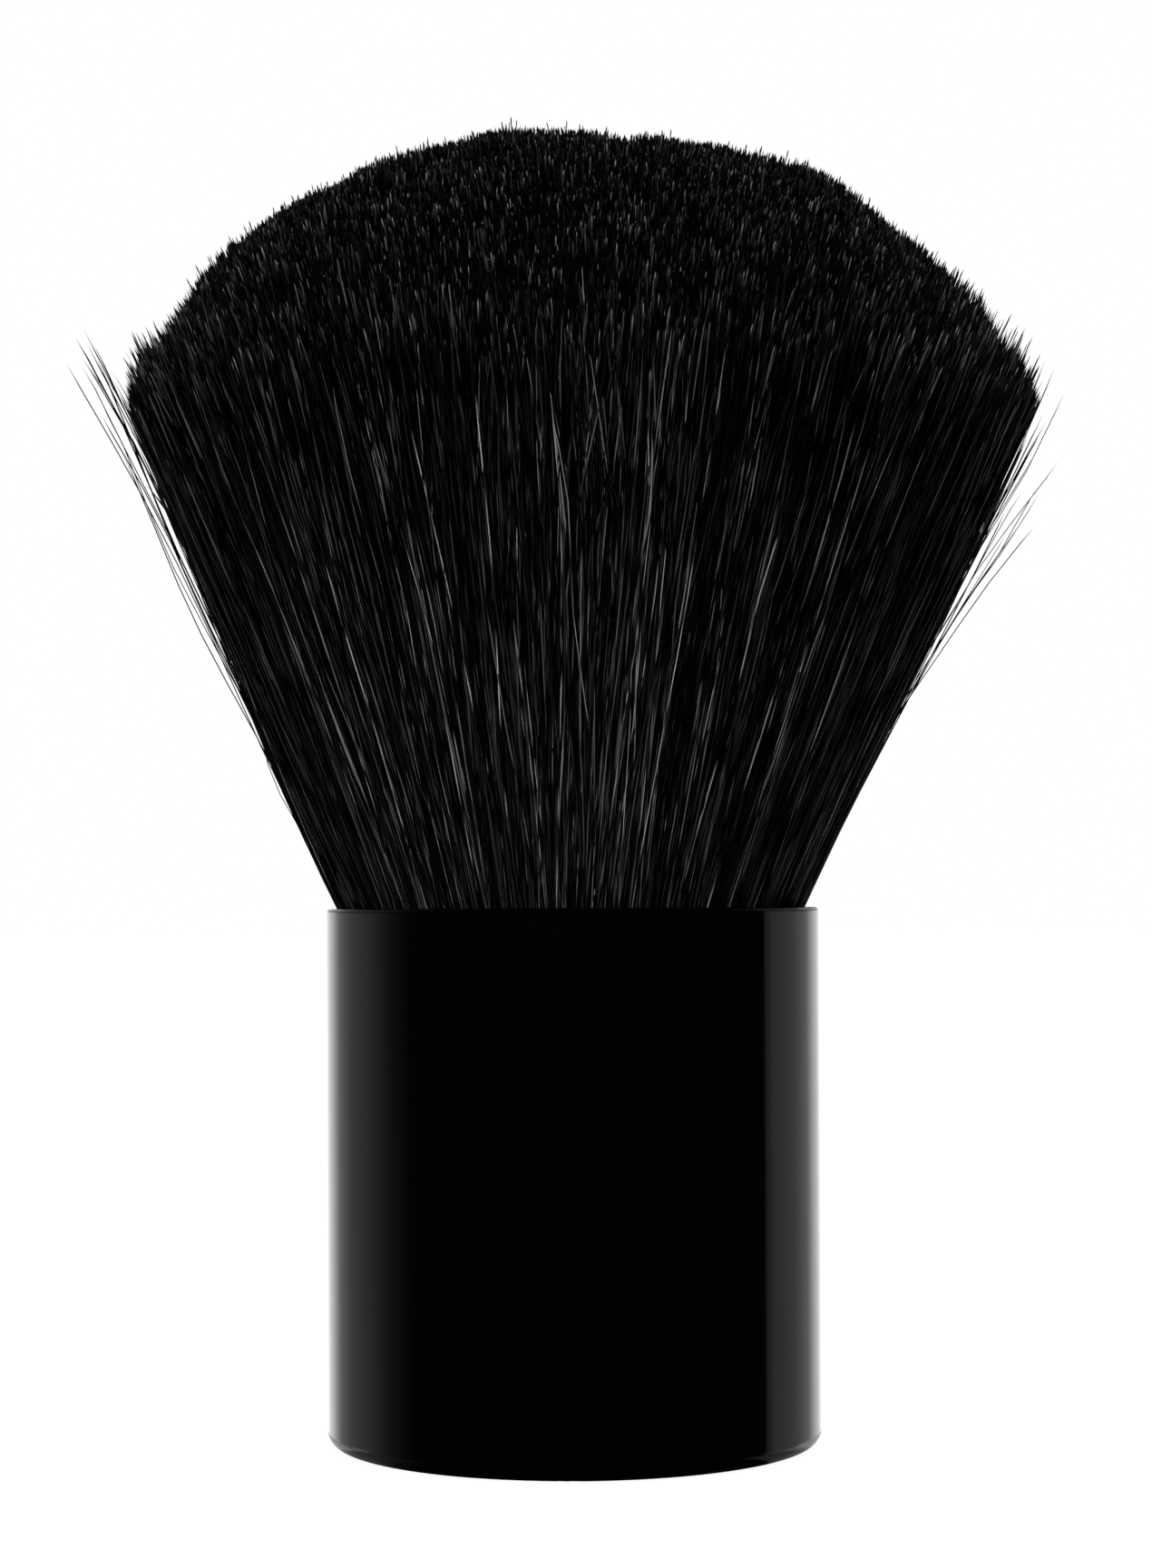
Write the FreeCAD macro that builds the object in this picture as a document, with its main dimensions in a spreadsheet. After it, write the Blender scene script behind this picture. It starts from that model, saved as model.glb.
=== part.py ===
"""A kabuki makeup brush: a domed tuft of hair set in a short round handle.

All pieces share one axis. The origin is the centre of the foot, +Z runs up through the hair,
and lengths are millimetres. The sheet Size holds the sizes that can be set. The sheet Place
holds the radii and heights that follow from them, so pieces that fit share one value.
"""
import FreeCAD
import Part
import Sketcher
import math
import os

# Sizes that can be set: alias, value, what it is
SIZES = (
    ("handle_diameter", 30.0, "outside of the handle shell"),
    ("handle_height", 32.5, "foot of the handle to its rim"),
    ("shell_wall", 0.45, "sheet that the shell is drawn from"),
    ("foot_bend_radius", 0.45, "inside radius where the shell turns in at the foot"),
    ("foot_flange_width", 3.2, "how far the foot turns in from the outside"),
    ("lip_outer_share", 0.6, "share of the wall that the rim is rounded outside"),
    ("lip_inner_share", 0.3, "share of the wall that the rim is rounded inside"),
    ("glue_gap", 0.06, "film of glue between pieces that are glued in one another"),
    ("plate_recess", 0.2, "base plate's face above the foot"),
    ("plate_rim_thickness", 1.6, "base plate's rim, inside the shell"),
    ("plate_dish_share", 0.68, "share of the base plate's face that is dished"),
    ("plate_dish_depth", 0.4, "depth of that dish"),
    ("spigot_diameter", 6.0, "peg on the base plate that centres the weight"),
    ("spigot_chamfer", 0.5, "lead-in at the tip of the spigot"),
    ("weight_thickness", 6.0, "steel ring in the handle"),
    ("weight_clearance", 0.2, "room round and above the steel ring"),
    ("weight_chamfer", 0.4, "broken edges of the steel ring"),
    ("core_wall", 1.4, "wall of the moulded sleeve"),
    ("core_web", 2.0, "floor across the sleeve, between weight and tuft"),
    ("core_lip", 1.5, "sleeve above the cup"),
    ("core_chamfer", 0.5, "lead-in at the mouth of the sleeve"),
    ("vent_diameter", 2.0, "holes in the web that let air and glue pass"),
    ("vent_count", 4, "number of those holes"),
    ("groove_width", 1.6, "glue grooves down the outside of the sleeve"),
    ("groove_depth_share", 0.35, "share of the sleeve's wall that a groove takes"),
    ("groove_count", 8, "number of those grooves"),
    ("cup_wall", 0.4, "sheet that the tuft's cup is drawn from"),
    ("cup_bend_radius", 0.5, "inside radius round the floor of the cup"),
    ("cup_margin", 0.6, "cup above the binding"),
    ("resin_depth", 3.5, "resin between the cup's floor and the hair"),
    ("resin_collar", 1.5, "resin that stands up round the hair"),
    ("thread_diameter", 0.7, "binding thread"),
    ("thread_spacing", 0.45, "bare hair between two turns"),
    ("thread_turns", 4, "turns of the binding"),
    ("thread_room", 0.12, "room on each side of the binding"),
    ("mouth_gap", 0.25, "hair to the inside of the rim"),
    ("fan_angle", 25.3, "lean of the outermost hair from the axis, degrees"),
    ("tuft_rise", 46.2, "rim of the handle to the top of the dome"),
    ("dome_bulge", 1.5, "dome past the side of the tuft, at the dome's widest"),
    ("dome_flat_share", 0.713, "height of the dome as a share of its radius"),
    ("shoulder_round", 5.0, "rounding between the side of the tuft and its dome"),
    ("overrun", 2.0, "how far a cutting shape runs past what it cuts"),
)

# What follows from them: alias, expression, what it is
PLACES = (
    ("handle_radius", "Size.handle_diameter / 2", "outside of the shell"),
    ("shell_bore", "handle_radius - Size.shell_wall", "inside of the shell"),
    ("foot_round", "Size.foot_bend_radius + Size.shell_wall", "outside round of the foot"),
    ("foot_window", "handle_radius - Size.foot_flange_width", "opening in the foot"),
    ("lip_outer", "Size.shell_wall * Size.lip_outer_share", "rim round, outside"),
    ("lip_inner", "Size.shell_wall * Size.lip_inner_share", "rim round, inside"),
    ("plate_disc", "foot_window - Size.glue_gap", "base plate where it fills the opening"),
    ("plate_rim", "shell_bore - Size.glue_gap", "base plate inside the shell"),
    ("plate_dish", "plate_disc * Size.plate_dish_share", "dish under the base plate"),
    ("dish_top", "Size.plate_recess + Size.plate_dish_depth", "roof of that dish"),
    ("plate_top", "Size.shell_wall + Size.plate_rim_thickness", "top of the base plate's rim"),
    ("spigot", "Size.spigot_diameter / 2", "spigot"),
    ("core_outer", "shell_bore - Size.glue_gap", "outside of the sleeve"),
    ("core_bore", "core_outer - Size.core_wall", "inside of the sleeve"),
    ("groove_floor", "core_outer - Size.core_wall * Size.groove_depth_share", "floor of a groove"),
    ("groove_far", "core_outer + Size.overrun", "where a groove's cut ends outside"),
    ("groove_half", "Size.groove_width / 2", "half of a groove"),
    ("weight_bore", "spigot + Size.weight_clearance", "inside of the steel ring"),
    ("weight_outer", "core_bore - Size.weight_clearance", "outside of the steel ring"),
    ("weight_top", "plate_top + Size.weight_thickness", "top of the steel ring"),
    ("pocket_top", "weight_top + Size.weight_clearance", "underside of the web"),
    ("web_top", "pocket_top + Size.core_web", "top of the web"),
    ("web_hole", "spigot + Size.glue_gap", "hole in the web for the spigot"),
    ("vent_ring", "(web_hole + core_bore) / 2", "circle that the vents lie on"),
    ("vent_radius", "Size.vent_diameter / 2", "a vent"),
    ("cup_outer", "core_bore - Size.glue_gap", "outside of the cup"),
    ("cup_bore", "cup_outer - Size.cup_wall", "inside of the cup"),
    ("cup_round", "Size.cup_bend_radius + Size.cup_wall", "outside round of the cup's floor"),
    ("cup_floor", "web_top + Size.cup_wall", "inside floor of the cup"),
    ("resin_outer", "cup_bore - Size.glue_gap", "outside of the resin"),
    ("root_height", "cup_floor + Size.resin_depth", "lower end of the hair"),
    ("collar_top", "root_height + Size.resin_collar", "top of the resin"),
    ("thread_radius", "Size.thread_diameter / 2", "section of the thread"),
    ("thread_pitch", "Size.thread_diameter + Size.thread_spacing", "rise of one turn"),
    ("thread_ring", "cup_bore - Size.thread_room - thread_radius", "centre line of the binding"),
    ("thread_start", "collar_top + Size.thread_room + thread_radius", "first turn"),
    ("thread_end", "thread_start + Size.thread_turns * thread_pitch", "last turn"),
    ("binding_top", "thread_end + thread_radius + Size.thread_room", "where the hair starts to fan"),
    ("waist", "thread_ring - thread_radius - Size.thread_room", "hair inside the binding"),
    ("collar_bore", "waist + Size.glue_gap", "inside of the resin's collar"),
    ("cup_top", "binding_top + Size.cup_margin", "rim of the cup"),
    ("core_top", "cup_top + Size.core_lip", "mouth of the sleeve"),
    ("mouth", "shell_bore - Size.mouth_gap", "hair at the rim of the handle"),
    ("bend_reach", "mouth - waist", "how far the hair moves out inside the handle"),
    ("bend_rise", "Size.handle_height - binding_top", "height in which it does"),
    ("bend_radius", "(bend_reach ^ 2 + bend_rise ^ 2) / (2 * bend_reach)", "curve of the hair there"),
    ("fan_slope", "tan(Size.fan_angle)", "lean of the tuft's side as a slope"),
    ("fan_reach", "mouth + Size.tuft_rise * fan_slope", "side of the tuft, run up to the top"),
    ("dome_share", "Size.dome_flat_share / (1 + Size.dome_flat_share * fan_slope)", "dome in that reach"),
    ("dome_rise", "dome_share * (fan_reach + Size.dome_bulge)", "height of the dome"),
    ("dome_radius", "dome_rise / Size.dome_flat_share", "radius of the dome at its widest"),
    ("tuft_top", "Size.handle_height + Size.tuft_rise", "top of the dome"),
    ("dome_base", "tuft_top - dome_rise", "where the dome is widest"),
    ("dome_side", "dome_radius - Size.dome_bulge", "side of the tuft at that height"),
    ("fan_lean", "90 - Size.fan_angle", "side of the tuft from level, degrees"),
)

# How a sketch numbers its axes and the ends of a line
H_AXIS_INDEX = -1
V_AXIS_INDEX = -2
START_INDEX = 1
END_INDEX = 2
CENTRE_INDEX = 3
# Sides of the tuft's half section, in the order they are drawn
FAN, AXIS, ROOT_END, ROOT_SIDE, BEND, DOME, DOME_WIDTH = range(7)
FULL_TURN_DEGREES = 360
# Points that the binding's gap is measured on, in each turn
TURN_POINT_COUNT = 360
# How near two places are to count as one
PLACE_TOLERANCE = 1e-4

doc = FreeCAD.newDocument("KabukiBrush")


def fill_sheet(name, rows, mark):
    """A sheet of aliased cells. The mark goes before each value: = for a formula."""
    sheet = doc.addObject("Spreadsheet::Sheet", name)
    for number, (alias, content, meaning) in enumerate(rows, start=1):
        sheet.set(f"A{number}", meaning)
        sheet.set(f"B{number}", f"{mark}{content}")
        sheet.setAlias(f"B{number}", alias)
    doc.recompute()
    return sheet


fill_sheet("Size", SIZES, "")
place = fill_sheet("Place", PLACES, "=")


def value(expression):
    """The number that an expression gives now."""
    return float(place.evalExpression(expression)) if expression else 0.0


def new_body(label):
    """An empty body for one piece."""
    body = doc.addObject("PartDesign::Body", label)
    body.Label = label
    return body


def new_sketch(body, name, role):
    """An empty sketch on one of the body's own origin planes."""
    plane = next(feature for feature in body.Origin.OriginFeatures if feature.Role == role)
    sketch = body.newObject("Sketcher::SketchObject", name)
    sketch.AttachmentSupport = [(plane, "")]
    sketch.MapMode = "FlatFace"
    return sketch


def bind(sketch, constraint, expression):
    """Adds a constraint that takes its size from an expression."""
    number = sketch.addConstraint(constraint)
    sketch.setExpression(f"Constraints[{number}]", expression)


def pin(sketch, side, end, across, up):
    """Ties one end of a side to its place. An empty expression lies on the axis."""
    for kind, axis, expression in (("DistanceX", V_AXIS_INDEX, across), ("DistanceY", H_AXIS_INDEX, up)):
        if expression:
            bind(sketch, Sketcher.Constraint(kind, side, end, value(expression)), expression)
        else:
            sketch.addConstraint(Sketcher.Constraint("PointOnObject", side, end, axis))


def join(sketch, side, end, other, other_end):
    """Makes the ends of two sides one point."""
    sketch.addConstraint(Sketcher.Constraint("Coincident", side, end, other, other_end))


def draw_outline(sketch, corners):
    """Straight sides from corner to corner, closed. A corner is a pair of expressions."""
    points = [FreeCAD.Vector(value(across), value(up), 0) for across, up in corners]
    for start, end in zip(points, points[1:] + points[:1]):
        sketch.addGeometry(Part.LineSegment(start, end), False)
    for side, (across, up) in enumerate(corners):
        join(sketch, side, END_INDEX, (side + 1) % len(corners), START_INDEX)
        pin(sketch, side, START_INDEX, across, up)


def draw_circle(sketch, across, up, radius):
    """A circle about a place, its centre and radius given as expressions."""
    centre = FreeCAD.Vector(value(across), value(up), 0)
    circle = sketch.addGeometry(Part.Circle(centre, FreeCAD.Vector(0, 0, 1), value(radius)), False)
    pin(sketch, circle, CENTRE_INDEX, across, up)
    bind(sketch, Sketcher.Constraint("Radius", circle, value(radius)), radius)


def revolve(body, sketch):
    """Turns a half section about the handle's axis."""
    turned = body.newObject("PartDesign::Revolution", f"{body.Label}_turned")
    turned.Profile = sketch
    turned.ReferenceAxis = (sketch, ["V_Axis"])
    turned.Angle = FULL_TURN_DEGREES
    sketch.Visibility = False
    doc.recompute()
    return turned


def turned_body(label, corners):
    """A body turned from its half section of (radius, height) corners."""
    body = new_body(label)
    section = new_sketch(body, f"{label}_section", "XZ_Plane")
    draw_outline(section, corners)
    revolve(body, section)
    return body


def rings(feature, radius, height):
    """Names of the feature's circular edges about the axis at a radius and a height, in numbers."""
    names = []
    for number, edge in enumerate(feature.Shape.Edges, start=1):
        if edge.Degenerated or not isinstance(edge.Curve, Part.Circle):
            continue
        curve = edge.Curve
        same_radius = abs(curve.Radius - radius) < PLACE_TOLERANCE
        same_height = abs(curve.Center.z - height) < PLACE_TOLERANCE
        if same_radius and same_height:
            names.append(f"Edge{number}")
    return names


def dress(body, kind, name, edges, amount):
    """Rounds or chamfers edges of the body's last feature, by an expression."""
    feature = body.newObject(f"PartDesign::{kind}", f"{body.Label}_{name}")
    feature.Base = (feature.BaseFeature, edges)
    feature.setExpression("Radius" if kind == "Fillet" else "Size", amount)
    doc.recompute()


def round_ring(body, name, radius, height, amount):
    """Rounds the circular edge at a radius and height, all three given as expressions."""
    dress(body, "Fillet", name, rings(body.Tip, value(radius), value(height)), amount)


def chamfer_ring(body, name, radius, height, amount):
    """Chamfers the circular edge at a radius and height, all three given as expressions."""
    dress(body, "Chamfer", name, rings(body.Tip, value(radius), value(height)), amount)


def cut_round(body, sketch, name, count):
    """Cuts a sketch right through the body and repeats the cut round the axis."""
    before = body.Shape.Volume
    cut = body.newObject("PartDesign::Pocket", f"{name}_cut")
    cut.Profile = sketch
    cut.Type = "ThroughAll"
    cut.Midplane = True
    sketch.Visibility = False
    doc.recompute()
    pattern = body.newObject("PartDesign::PolarPattern", f"{name}_pattern")
    pattern.Originals = [cut]
    pattern.Axis = (sketch, ["N_Axis"])
    pattern.Angle = FULL_TURN_DEGREES
    pattern.setExpression("Occurrences", count)
    body.Tip = pattern
    doc.recompute()
    print(f"{name}: cut {before - body.Shape.Volume:.2f} mm3")


def make_handle_shell():
    """Drawn tube with a rounded rim and a foot turned in underneath."""
    body = turned_body("handle_shell", (
        ("Place.foot_window", ""),
        ("Place.handle_radius", ""),
        ("Place.handle_radius", "Size.handle_height"),
        ("Place.shell_bore", "Size.handle_height"),
        ("Place.shell_bore", "Size.shell_wall"),
        ("Place.foot_window", "Size.shell_wall"),
    ))
    round_ring(body, "foot", "Place.handle_radius", "", "Place.foot_round")
    round_ring(body, "bend", "Place.shell_bore", "Size.shell_wall", "Size.foot_bend_radius")
    round_ring(body, "lip", "Place.handle_radius", "Size.handle_height", "Place.lip_outer")
    round_ring(body, "mouth", "Place.shell_bore", "Size.handle_height", "Place.lip_inner")
    return body


def make_base_plate():
    """Stepped disc in the foot, with a dish below and a spigot above."""
    body = turned_body("base_plate", (
        ("", "Place.dish_top"),
        ("Place.plate_dish", "Place.dish_top"),
        ("Place.plate_dish", "Size.plate_recess"),
        ("Place.plate_disc", "Size.plate_recess"),
        ("Place.plate_disc", "Size.shell_wall"),
        ("Place.plate_rim", "Size.shell_wall"),
        ("Place.plate_rim", "Place.plate_top"),
        ("Place.spigot", "Place.plate_top"),
        ("Place.spigot", "Place.web_top"),
        ("", "Place.web_top"),
    ))
    chamfer_ring(body, "seat", "Place.plate_rim", "Size.shell_wall", "Size.foot_bend_radius")
    chamfer_ring(body, "tip", "Place.spigot", "Place.web_top", "Size.spigot_chamfer")
    return body


def make_counterweight():
    """Turned steel ring round the spigot."""
    body = turned_body("counterweight", (
        ("Place.weight_bore", "Place.plate_top"),
        ("Place.weight_outer", "Place.plate_top"),
        ("Place.weight_outer", "Place.weight_top"),
        ("Place.weight_bore", "Place.weight_top"),
    ))
    chamfer_ring(body, "foot", "Place.weight_outer", "Place.plate_top", "Size.weight_chamfer")
    chamfer_ring(body, "head", "Place.weight_outer", "Place.weight_top", "Size.weight_chamfer")
    return body


def make_handle_core():
    """Moulded sleeve with a web across it, vents in the web and glue grooves outside."""
    body = turned_body("handle_core", (
        ("Place.core_bore", "Place.plate_top"),
        ("Place.core_outer", "Place.plate_top"),
        ("Place.core_outer", "Place.core_top"),
        ("Place.core_bore", "Place.core_top"),
        ("Place.core_bore", "Place.web_top"),
        ("Place.web_hole", "Place.web_top"),
        ("Place.web_hole", "Place.pocket_top"),
        ("Place.core_bore", "Place.pocket_top"),
    ))
    chamfer_ring(body, "mouth", "Place.core_bore", "Place.core_top", "Size.core_chamfer")
    vent = new_sketch(body, "vent", "XY_Plane")
    draw_circle(vent, "Place.vent_ring", "", "Place.vent_radius")
    cut_round(body, vent, "vent", "Size.vent_count")
    groove = new_sketch(body, "groove", "XY_Plane")
    draw_outline(groove, (
        ("Place.groove_floor", "-Place.groove_half"),
        ("Place.groove_far", "-Place.groove_half"),
        ("Place.groove_far", "Place.groove_half"),
        ("Place.groove_floor", "Place.groove_half"),
    ))
    cut_round(body, groove, "groove", "Size.groove_count")
    return body


def make_tuft_cup():
    """Drawn cup that the bound hair is set in."""
    body = turned_body("tuft_cup", (
        ("", "Place.web_top"),
        ("Place.cup_outer", "Place.web_top"),
        ("Place.cup_outer", "Place.cup_top"),
        ("Place.cup_bore", "Place.cup_top"),
        ("Place.cup_bore", "Place.cup_floor"),
        ("", "Place.cup_floor"),
    ))
    round_ring(body, "foot", "Place.cup_outer", "Place.web_top", "Place.cup_round")
    round_ring(body, "bend", "Place.cup_bore", "Place.cup_floor", "Size.cup_bend_radius")
    return body


def make_root_resin():
    """Resin cast in the cup, with a collar round the hair."""
    body = turned_body("root_resin", (
        ("", "Place.cup_floor"),
        ("Place.resin_outer", "Place.cup_floor"),
        ("Place.resin_outer", "Place.collar_top"),
        ("Place.collar_bore", "Place.collar_top"),
        ("Place.collar_bore", "Place.root_height"),
        ("", "Place.root_height"),
    ))
    round_ring(body, "foot", "Place.resin_outer", "Place.cup_floor", "Size.cup_bend_radius")
    return body


def make_binding_thread():
    """Thread wound round the hair as one unbroken helix."""
    body = new_body("binding_thread")
    section = new_sketch(body, "thread_section", "XZ_Plane")
    draw_circle(section, "Place.thread_ring", "Place.thread_start", "Place.thread_radius")
    winding = body.newObject("PartDesign::AdditiveHelix", "binding_thread_wound")
    winding.Profile = section
    winding.ReferenceAxis = (section, ["V_Axis"])
    winding.Mode = "pitch-turns-angle"
    winding.setExpression("Pitch", "Place.thread_pitch")
    winding.setExpression("Turns", "Size.thread_turns")
    winding.Angle = 0
    section.Visibility = False
    doc.recompute()
    print(f"binding_thread: least gap to itself {thread_gap():.3f} mm")
    return body


def thread_gap():
    """The least gap between two turns of the binding, measured on points of its centre line."""
    ring = value("Place.thread_ring")
    pitch = value("Place.thread_pitch")
    points = []
    for step in range(2 * TURN_POINT_COUNT):
        turns = step / TURN_POINT_COUNT
        angle = math.tau * turns
        points.append(FreeCAD.Vector(ring * math.cos(angle), ring * math.sin(angle), pitch * turns))
    half_turn = TURN_POINT_COUNT // 2
    nearest = min(points[0].distanceToPoint(point) for point in points[half_turn:])
    return nearest - value("Size.thread_diameter")


def draw_tuft_lines(section):
    """The straight sides of the tuft's half section: the side of the fan, the axis and the root."""
    corners = {
        FAN: (("Place.mouth", "Size.handle_height"), ("Place.dome_side", "Place.dome_base")),
        AXIS: (("", "Place.tuft_top"), ("", "Place.root_height")),
        ROOT_END: (("", "Place.root_height"), ("Place.waist", "Place.root_height")),
        ROOT_SIDE: (("Place.waist", "Place.root_height"), ("Place.waist", "Place.binding_top")),
    }
    for side in sorted(corners):
        start, end = (FreeCAD.Vector(value(across), value(up), 0) for across, up in corners[side])
        section.addGeometry(Part.LineSegment(start, end), False)
        pin(section, side, START_INDEX, *corners[side][0])
    pin(section, ROOT_SIDE, END_INDEX, *corners[ROOT_SIDE][1])
    join(section, AXIS, END_INDEX, ROOT_END, START_INDEX)
    join(section, ROOT_END, END_INDEX, ROOT_SIDE, START_INDEX)
    lean = Sketcher.Constraint("Angle", FAN, math.radians(value("Place.fan_lean")))
    bind(section, lean, "Place.fan_lean")


def draw_tuft_bend(section):
    """The arc that leaves the root upright and reaches the mouth. It runs from the mouth down."""
    radius = value("Place.bend_radius")
    mouth = FreeCAD.Vector(value("Place.mouth"), value("Size.handle_height"), 0)
    foot = FreeCAD.Vector(value("Place.waist"), value("Place.binding_top"), 0)
    circle = Part.Circle(foot + FreeCAD.Vector(radius, 0, 0), FreeCAD.Vector(0, 0, 1), radius)
    section.addGeometry(Part.ArcOfCircle(circle, circle.parameter(mouth), circle.parameter(foot)), False)
    join(section, BEND, START_INDEX, FAN, START_INDEX)
    join(section, BEND, END_INDEX, ROOT_SIDE, END_INDEX)
    bind(section, Sketcher.Constraint("Radius", BEND, radius), "Place.bend_radius")


def draw_tuft_dome(section):
    """Part of an ellipse from the side of the fan to the top, its long axis level."""
    centre = FreeCAD.Vector(0, value("Place.dome_base"), 0)
    wide = centre + FreeCAD.Vector(value("Place.dome_radius"), 0, 0)
    top = FreeCAD.Vector(0, value("Place.tuft_top"), 0)
    ellipse = Part.Ellipse(wide, top, centre)
    section.addGeometry(Part.ArcOfEllipse(ellipse, 0, ellipse.parameter(top)), False)
    section.exposeInternalGeometry(DOME)
    pin(section, DOME, CENTRE_INDEX, "", "Place.dome_base")
    section.addConstraint(Sketcher.Constraint("Horizontal", DOME_WIDTH))
    half_width = Sketcher.Constraint("DistanceX", DOME_WIDTH, START_INDEX, wide.x)
    bind(section, half_width, "Place.dome_radius")
    join(section, DOME, END_INDEX, AXIS, START_INDEX)
    join(section, DOME, START_INDEX, FAN, END_INDEX)


def make_hair_tuft():
    """The hair as one solid: tied root, bend inside the handle, fanned side and domed top."""
    body = new_body("hair_tuft")
    section = new_sketch(body, "hair_section", "XZ_Plane")
    draw_tuft_lines(section)
    draw_tuft_bend(section)
    draw_tuft_dome(section)
    revolve(body, section)
    shoulder = section.getPoint(FAN, END_INDEX)
    dress(body, "Fillet", "shoulder", rings(body.Tip, shoulder.x, shoulder.y), "Size.shoulder_round")
    return body


def check_document():
    """Stops if any object failed."""
    for item in doc.Objects:
        if "Invalid" in item.State or "Error" in item.State:
            raise RuntimeError(f"{item.Label}: {item.State}")


def export(piece):
    """Writes one piece, as a single valid solid."""
    shape = piece.Shape
    if shape.isNull() or not shape.isValid() or len(shape.Solids) != 1:
        raise RuntimeError(f"{piece.Label} is not one valid solid")
    shape.exportStep(os.path.join("parts", f"{piece.Label}.step"))
    box = shape.optimalBoundingBox()
    reach = f"z {box.ZMin:.3f} to {box.ZMax:.3f}, across {box.XLength:.3f}"
    print(f"{piece.Label}: {shape.Volume:.1f} mm3, {reach}")


os.makedirs("parts", exist_ok=True)
pieces = [
    make_handle_shell(),
    make_base_plate(),
    make_counterweight(),
    make_handle_core(),
    make_tuft_cup(),
    make_root_resin(),
    make_binding_thread(),
    make_hair_tuft(),
]
check_document()
for piece in pieces:
    export(piece)
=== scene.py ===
# %% [markdown]
# A kabuki brush is a short round handle, here in gloss black, with a wide dome of soft dark hair.
# The frame loads the solids of the part in metres, with the foot at the origin and Z up. The handle
# and the pieces inside it keep their solids and only get materials. The hair is one plain solid
# there, so this script grows real hairs in its place.

# %% Load the frame
import math

import bpy
import numpy as np
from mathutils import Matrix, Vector


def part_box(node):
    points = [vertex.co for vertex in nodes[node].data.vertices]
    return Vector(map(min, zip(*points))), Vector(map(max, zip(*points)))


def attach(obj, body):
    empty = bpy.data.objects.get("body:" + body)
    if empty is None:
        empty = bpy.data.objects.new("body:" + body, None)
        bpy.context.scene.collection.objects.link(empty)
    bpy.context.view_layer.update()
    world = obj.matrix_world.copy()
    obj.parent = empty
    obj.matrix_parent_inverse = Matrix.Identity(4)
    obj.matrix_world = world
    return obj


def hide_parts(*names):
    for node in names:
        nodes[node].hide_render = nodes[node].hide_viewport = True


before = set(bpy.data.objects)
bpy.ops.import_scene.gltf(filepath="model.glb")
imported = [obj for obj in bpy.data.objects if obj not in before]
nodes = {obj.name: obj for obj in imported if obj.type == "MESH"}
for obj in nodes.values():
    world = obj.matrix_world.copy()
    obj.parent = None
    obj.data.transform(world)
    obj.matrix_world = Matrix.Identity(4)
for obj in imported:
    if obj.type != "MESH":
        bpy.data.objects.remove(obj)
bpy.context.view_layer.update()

MM = 0.001
scene = bpy.context.scene
print("solids in the frame:", sorted(nodes))

# %% [markdown]
# The brush was photographed from the height of its rim: the rim shows as a straight line, and the
# foot as a curve that hangs down. How strongly that curve hangs gives the distance, about 0.2 m, and
# the lens follows from the size of the brush in the frame. The rim lies well below the middle of the
# picture, though the camera looks level. A view camera does that by sliding its lens, which Blender
# calls shift, and the upright sides of the handle stay parallel.

# %% Set up the camera
RIM_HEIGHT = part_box("handle_shell")[1][2]
CAMERA_DISTANCE = 200 * MM
CAMERA_ROLL = math.radians(0.25)

camera_data = bpy.data.cameras.new("brush_camera")
camera_data.lens = 75.3
camera_data.sensor_width = 36.0
camera_data.shift_x = 0.0022
camera_data.shift_y = 0.079
camera = bpy.data.objects.new("brush_camera", camera_data)
camera.location = (0.0, -CAMERA_DISTANCE, RIM_HEIGHT)
camera.rotation_euler = (math.radians(90), CAMERA_ROLL, 0.0)
scene.collection.objects.link(camera)
scene.camera = camera
print("camera height:", round(RIM_HEIGHT / MM, 2), "mm")

# %% [markdown]
# Colours are written as hex values, as a paint program shows them, and a shader needs them linear.
# The studio and every material use one small function that adds a node, sets its values and links
# its inputs, so that a node tree reads like a list.

# %% Prepare colours and nodes
scene.view_settings.view_transform = "Standard"


def linear(hex_colour):
    """A shader's linear colour for an sRGB hex value."""
    channels = [int(hex_colour[i:i + 2], 16) / 255 for i in (1, 3, 5)]
    return [c / 12.92 if c <= 0.04045 else ((c + 0.055) / 1.055) ** 2.4 for c in channels] + [1.0]


def grey(level):
    """A linear grey, for light and for greys that are set by amount."""
    return [level, level, level, 1.0]


def add_node(tree, kind, links=(), values=(), **settings):
    """Add a node. links and values go from an input's name or number to a socket or a value."""
    node = tree.nodes.new(kind)
    for name, setting in settings.items():
        setattr(node, name, setting)
    for key, value in dict(values).items():
        node.inputs[key].default_value = value
    for key, socket in dict(links).items():
        tree.links.new(socket, node.inputs[key])
    return node


def fill_ramp(node, stops):
    """Set a colour ramp's stops from pairs of position and colour."""
    ramp = node.color_ramp
    while len(ramp.elements) < len(stops):
        ramp.elements.new(1.0)
    for element, (position, colour) in zip(ramp.elements, stops):
        element.position = position
        element.color = colour
    return node


# %% [markdown]
# Gloss black has no look of its own: it shows what it mirrors. The handle is black in the middle and
# pale along both edges, so the room is dark behind the camera and white behind the brush. Real
# screens and cards could be placed round the brush to mirror them. A world that changes with the
# direction of a ray does the same with less, and lights the hair too. Each ramp follows how far a
# ray points to the back. On the right a screen ends the grey with a sharp edge, on the left it fades.

# %% Paint the walls of the studio
LEFT_GREYS = [(0.41, 0.01), (0.53, 0.1), (0.60, 0.2), (0.67, 0.29),
              (0.79, 0.37), (0.87, 0.58), (0.93, 1.35), (0.98, 1.5)]
RIGHT_GREYS = [(0.572, 0.01), (0.58, 0.14), (0.63, 0.33), (0.78, 0.38),
               (0.87, 0.55), (0.92, 1.15), (0.98, 1.4)]


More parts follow.
